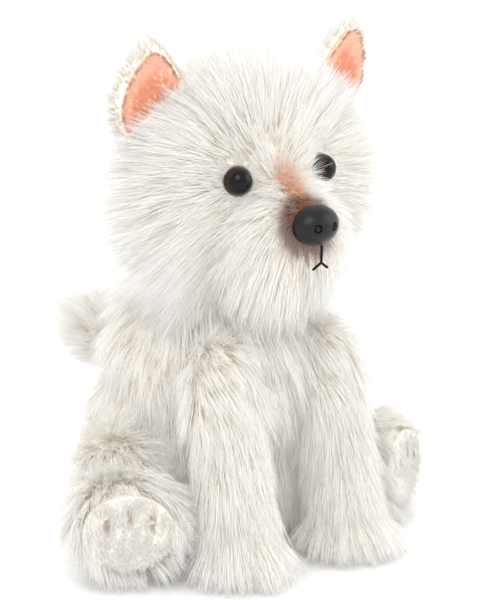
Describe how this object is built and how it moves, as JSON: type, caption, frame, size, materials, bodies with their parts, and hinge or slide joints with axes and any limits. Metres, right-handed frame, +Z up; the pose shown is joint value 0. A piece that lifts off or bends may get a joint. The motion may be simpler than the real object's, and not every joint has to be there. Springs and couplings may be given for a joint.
{
  "type": "plush dog",
  "caption": "Sitting long-haired plush dog with a turning head, folding ears, sewn-on legs, a short tail, locked-in eyes and a moulded nose.",
  "frame": {"origin": "on the floor, at the middle of the flat seat face", "axes": "+Z up, the dog faces -Y, its left side is +X"},
  "size_m": [0.2466, 0.2229, 0.2923],
  "materials": {
    "long_pile": "long white pile on a woven backing",
    "ear_pink": "short pink pile",
    "sole_plush": "short white pile with brown toe marks",
    "stuffing": "polyester fibre",
    "eye_black": "polished, black with a brown ring",
    "nose_black": "satin black",
    "washer_white": "plain moulded",
    "mouth_thread": "dark brown thread",
    "sewing_thread": "white thread",
    "bag_cloth": "plain woven",
    "pellets": "small plastic pellets, as one mass"
  },
  "bodies": {
    "torso": {"chest_panel": "long_pile", "back_panel_left": "long_pile", "back_panel_right": "long_pile", "seat_panel": "long_pile", "body_stuffing": "stuffing", "pellet_bag": "bag_cloth", "pellet_fill": "pellets", "neck_seam": "sewing_thread", "closing_seam": "sewing_thread"},
    "head": {"head_gusset": "long_pile", "head_side_left": "long_pile", "head_side_right": "long_pile", "chin_panel": "long_pile", "head_stuffing": "stuffing", "eye_left": "eye_black", "eye_right": "eye_black", "eye_washer_left": "washer_white", "eye_washer_right": "washer_white", "nose": "nose_black", "nose_washer": "washer_white", "mouth_stitch": "mouth_thread"},
    "ear_left": {"ear_back_left": "long_pile", "ear_lining_left": "ear_pink"},
    "ear_right": {"ear_back_right": "long_pile", "ear_lining_right": "ear_pink"},
    "foreleg_left": {"foreleg_outer_left": "long_pile", "foreleg_inner_left": "long_pile", "foreleg_stuffing_left": "stuffing"},
    "foreleg_right": {"foreleg_outer_right": "long_pile", "foreleg_inner_right": "long_pile", "foreleg_stuffing_right": "stuffing"},
    "hindleg_left": {"haunch_pelt_left": "long_pile", "foot_pelt_left": "long_pile", "sole_pad_left": "sole_plush", "hindleg_stuffing_left": "stuffing"},
    "hindleg_right": {"haunch_pelt_right": "long_pile", "foot_pelt_right": "long_pile", "sole_pad_right": "sole_plush", "hindleg_stuffing_right": "stuffing"},
    "tail": {"tail_pelt_upper": "long_pile", "tail_pelt_lower": "long_pile", "tail_stuffing": "stuffing"}
  },
  "joints": [
    {"name": "head_turn", "type": "hinge", "parent": "torso", "child": "head", "pos_m": [0, -0.01, 0.15], "axis": [0, 0, 1], "range_deg": [-20, 20]},
    {"name": "ear_fold_left", "type": "hinge", "parent": "head", "child": "ear_left", "pos_m": [0.0558, -0.0192, 0.2541], "axis": [0.731, 0.2603, -0.6308], "range_deg": [-15, 15]},
    {"name": "ear_fold_right", "type": "hinge", "parent": "head", "child": "ear_right", "pos_m": [-0.0558, -0.0192, 0.2541], "axis": [0.731, -0.2603, 0.6308], "range_deg": [-15, 15]},
    {"name": "foreleg_swing_left", "type": "hinge", "parent": "torso", "child": "foreleg_left", "pos_m": [0.036, -0.042, 0.112], "axis": [-1, 0, 0], "range_deg": [0, 35]},
    {"name": "foreleg_swing_right", "type": "hinge", "parent": "torso", "child": "foreleg_right", "pos_m": [-0.036, -0.042, 0.112], "axis": [-1, 0, 0], "range_deg": [0, 35]},
    {"name": "hindleg_lift_left", "type": "hinge", "parent": "torso", "child": "hindleg_left", "pos_m": [0.072, 0.002, 0.042], "axis": [-1, 0, 0], "range_deg": [0, 30]},
    {"name": "hindleg_lift_right", "type": "hinge", "parent": "torso", "child": "hindleg_right", "pos_m": [-0.072, 0.002, 0.042], "axis": [-1, 0, 0], "range_deg": [0, 30]},
    {"name": "tail_wag", "type": "hinge", "parent": "torso", "child": "tail", "pos_m": [0, 0.08, 0.088], "axis": [0, 0, 1], "range_deg": [-45, 10]}
  ]
}
